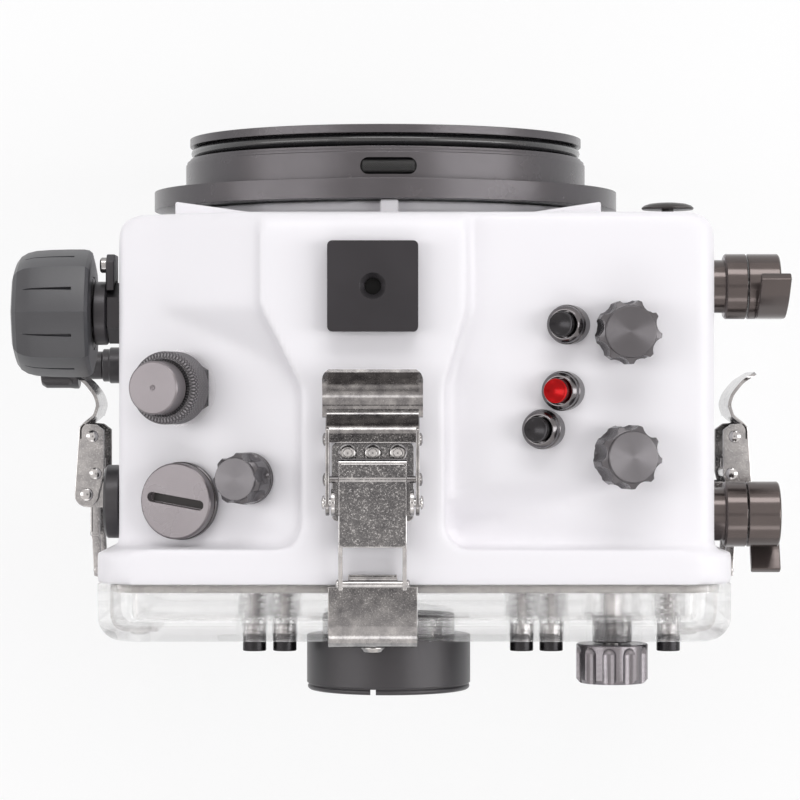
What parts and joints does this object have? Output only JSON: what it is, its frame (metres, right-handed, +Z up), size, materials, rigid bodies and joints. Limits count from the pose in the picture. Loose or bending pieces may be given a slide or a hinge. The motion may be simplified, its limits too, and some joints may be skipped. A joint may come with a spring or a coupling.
{
  "type": "underwater camera housing",
  "caption": "White waterproof camera housing with a round lens port, clear back cover, draw latches, knobs, levers, buttons and eyepiece.",
  "frame": {"origin": "on the base plate's flat face, under the lens axis and in the middle of the plate's length", "axes": "+X to the right hand of someone behind the camera, +Y out through the lens port, +Z up"},
  "size_m": [0.2559, 0.1876, 0.201],
  "materials": {
    "white_shell": "satin",
    "black_aluminium": "satin anodised",
    "grey_aluminium": "machined, anodised",
    "red_aluminium": "polished, anodised",
    "soft_rubber": "matte",
    "polished_steel": "polished",
    "spring_steel": "drawn wire",
    "clear_cover": "polished clear polycarbonate",
    "clear_glass": "coated glass",
    "seal_rubber": "greased"
  },
  "bodies": {
    "root": {"front_housing": "white_shell", "base_plate": "black_aluminium", "port_ring": "black_aluminium", "port_lock_roller": "black_aluminium", "accessory_plate": "black_aluminium", "deck_button_a_gland": "black_aluminium", "deck_button_b_gland": "black_aluminium", "deck_button_c_gland": "black_aluminium", "connector_body": "black_aluminium", "vent_plug_seat": "black_aluminium", "zoom_knob_gland": "black_aluminium", "lower_knob_gland": "black_aluminium", "blanking_boss": "black_aluminium", "shutter_gland": "black_aluminium", "lock_lever_gland": "black_aluminium", "connector_cap": "grey_aluminium", "camera_tray": "grey_aluminium", "tray_screw": "polished_steel", "top_latch_bracket": "polished_steel", "left_latch_bracket": "polished_steel", "right_latch_bracket": "polished_steel", "port_seal": "seal_rubber"},
    "back": {"back_cover": "clear_cover", "back_seal": "seal_rubber", "eyepiece_tube": "black_aluminium", "eyepiece_glass": "clear_glass", "top_latch_keeper": "polished_steel", "left_latch_keeper": "polished_steel", "right_latch_keeper": "polished_steel", "rear_button_1_spring": "spring_steel", "rear_button_2_spring": "spring_steel", "rear_button_3_spring": "spring_steel", "rear_button_4_spring": "spring_steel", "rear_button_5_spring": "spring_steel"},
    "top_lever": {"top_latch_lever": "polished_steel"},
    "top_link": {"top_latch_link": "polished_steel"},
    "left_lever": {"left_latch_lever": "polished_steel"},
    "left_link": {"left_latch_link": "polished_steel"},
    "right_lever": {"right_latch_lever": "polished_steel"},
    "right_link": {"right_latch_link": "polished_steel"},
    "zoom_knob": {"zoom_knob_grip": "soft_rubber", "zoom_knob_hub": "black_aluminium"},
    "lower_knob": {"lower_knob": "black_aluminium"},
    "collar": {"connector_collar": "black_aluminium"},
    "plug": {"vent_plug": "grey_aluminium"},
    "small_knob": {"small_knob": "black_aluminium"},
    "front_deck_knob": {"front_deck_knob": "black_aluminium"},
    "rear_deck_knob": {"rear_deck_knob": "black_aluminium"},
    "button_a": {"deck_button_a": "black_aluminium"},
    "button_b": {"deck_button_b": "red_aluminium"},
    "button_c": {"deck_button_c": "black_aluminium"},
    "shutter": {"shutter_lever": "black_aluminium"},
    "lock": {"lock_lever": "black_aluminium"},
    "rear_knob": {"rear_knob": "black_aluminium"},
    "release": {"lens_release_button": "black_aluminium"},
    "rear_button_1": {"rear_button_1": "black_aluminium"},
    "rear_button_2": {"rear_button_2": "black_aluminium"},
    "rear_button_3": {"rear_button_3": "black_aluminium"},
    "rear_button_4": {"rear_button_4": "black_aluminium"},
    "rear_button_5": {"rear_button_5": "black_aluminium"}
  },
  "joints": [
    {"name": "back_cover_off", "type": "slide", "parent": "root", "child": "back", "axis": [0, -1, 0], "range_m": [0, 0.018]},
    {"name": "top_lever_turn", "type": "hinge", "parent": "root", "child": "top_lever", "pos_m": [-0.0036, -0.0325, 0.1955], "axis": [1, 0, 0], "range_deg": [0, 111]},
    {"name": "top_link_turn", "type": "hinge", "parent": "top_lever", "child": "top_link", "pos_m": [-0.0036, -0.0253, 0.1925], "axis": [1, 0, 0], "range_deg": [-133, 0]},
    {"name": "left_lever_turn", "type": "hinge", "parent": "root", "child": "left_lever", "pos_m": [-0.1025, -0.0325, 0.098], "axis": [0, 0, 1], "range_deg": [0, 111]},
    {"name": "left_link_turn", "type": "hinge", "parent": "left_lever", "child": "left_link", "pos_m": [-0.0995, -0.0253, 0.098], "axis": [0, 0, 1], "range_deg": [-133, 0]},
    {"name": "right_lever_turn", "type": "hinge", "parent": "root", "child": "right_lever", "pos_m": [0.122, -0.0325, 0.098], "axis": [0, 0, -1], "range_deg": [0, 111]},
    {"name": "right_link_turn", "type": "hinge", "parent": "right_lever", "child": "right_link", "pos_m": [0.119, -0.0253, 0.098], "axis": [0, 0, -1], "range_deg": [-133, 0]},
    {"name": "zoom_knob_spin", "type": "hinge", "parent": "root", "child": "zoom_knob", "pos_m": [-0.0875, 0.029, 0.14], "axis": [-1, 0, 0], "continuous": true},
    {"name": "lower_knob_spin", "type": "hinge", "parent": "root", "child": "lower_knob", "pos_m": [-0.0875, 0.0125, 0.06], "axis": [-1, 0, 0], "continuous": true},
    {"name": "connector_collar_spin", "type": "hinge", "parent": "root", "child": "collar", "pos_m": [-0.0664, 0.0039, 0.16716], "axis": [-0.342, 0, 0.9397], "continuous": true},
    {"name": "small_knob_spin", "type": "hinge", "parent": "root", "child": "small_knob", "pos_m": [-0.0433, -0.0253, 0.17557], "axis": [-0.342, 0, 0.9397], "continuous": true},
    {"name": "front_deck_knob_spin", "type": "hinge", "parent": "root", "child": "front_deck_knob", "pos_m": [0.0774, 0.0217, 0.1827], "axis": [0.0785, 0, 0.9969], "continuous": true},
    {"name": "rear_deck_knob_spin", "type": "hinge", "parent": "root", "child": "rear_deck_knob", "pos_m": [0.0759, -0.0181, 0.1842], "axis": [0.2419, 0, 0.9703], "continuous": true},
    {"name": "rear_knob_spin", "type": "hinge", "parent": "back", "child": "rear_knob", "pos_m": [0.0754, -0.078, 0.15], "axis": [0, -1, 0], "continuous": true},
    {"name": "vent_plug_turn", "type": "hinge", "parent": "root", "child": "plug", "pos_m": [-0.0655, -0.0328, 0.16749], "axis": [-0.342, 0, 0.9397], "range_deg": [0, 90]},
    {"name": "shutter_lever_turn", "type": "hinge", "parent": "root", "child": "shutter", "pos_m": [0.107, 0.0376, 0.15], "axis": [1, 0, 0], "range_deg": [0, 18], "stiffness_Nm_per_rad": 0.3},
    {"name": "lock_lever_turn", "type": "hinge", "parent": "root", "child": "lock", "pos_m": [0.107, -0.0378, 0.15], "axis": [1, 0, 0], "range_deg": [-20, 20]},
    {"name": "deck_button_a_press", "type": "slide", "parent": "root", "child": "button_a", "axis": [0.342, 0, -0.9397], "range_m": [0, 0.0022], "stiffness_N_per_m": 600},
    {"name": "deck_button_b_press", "type": "slide", "parent": "root", "child": "button_b", "axis": [0.342, 0, -0.9397], "range_m": [0, 0.0022], "stiffness_N_per_m": 600},
    {"name": "deck_button_c_press", "type": "slide", "parent": "root", "child": "button_c", "axis": [0.342, 0, -0.9397], "range_m": [0, 0.0022], "stiffness_N_per_m": 600},
    {"name": "rear_button_1_press", "type": "slide", "parent": "back", "child": "rear_button_1", "axis": [0, 1, 0], "range_m": [0, 0.0025], "stiffness_N_per_m": 600, "deforming": ["rear_button_1_spring"]},
    {"name": "rear_button_2_press", "type": "slide", "parent": "back", "child": "rear_button_2", "axis": [0, 1, 0], "range_m": [0, 0.0025], "stiffness_N_per_m": 600, "deforming": ["rear_button_2_spring"]},
    {"name": "rear_button_3_press", "type": "slide", "parent": "back", "child": "rear_button_3", "axis": [0, 1, 0], "range_m": [0, 0.0025], "stiffness_N_per_m": 600, "deforming": ["rear_button_3_spring"]},
    {"name": "rear_button_4_press", "type": "slide", "parent": "back", "child": "rear_button_4", "axis": [0, 1, 0], "range_m": [0, 0.0025], "stiffness_N_per_m": 600, "deforming": ["rear_button_4_spring"]},
    {"name": "rear_button_5_press", "type": "slide", "parent": "back", "child": "rear_button_5", "axis": [0, 1, 0], "range_m": [0, 0.0025], "stiffness_N_per_m": 600, "deforming": ["rear_button_5_spring"]},
    {"name": "lens_release_press", "type": "slide", "parent": "root", "child": "release", "axis": [0, -1, 0], "range_m": [0, 0.002], "stiffness_N_per_m": 600}
  ],
  "couplings": [
    {"joint": "top_lever_turn", "follows": "back_cover_off", "rad_per_m": 106.66},
    {"joint": "top_link_turn", "follows": "back_cover_off", "rad_per_m": -127.99},
    {"joint": "left_lever_turn", "follows": "back_cover_off", "rad_per_m": 106.66},
    {"joint": "left_link_turn", "follows": "back_cover_off", "rad_per_m": -127.99},
    {"joint": "right_lever_turn", "follows": "back_cover_off", "rad_per_m": 106.66},
    {"joint": "right_link_turn", "follows": "back_cover_off", "rad_per_m": -127.99}
  ]
}
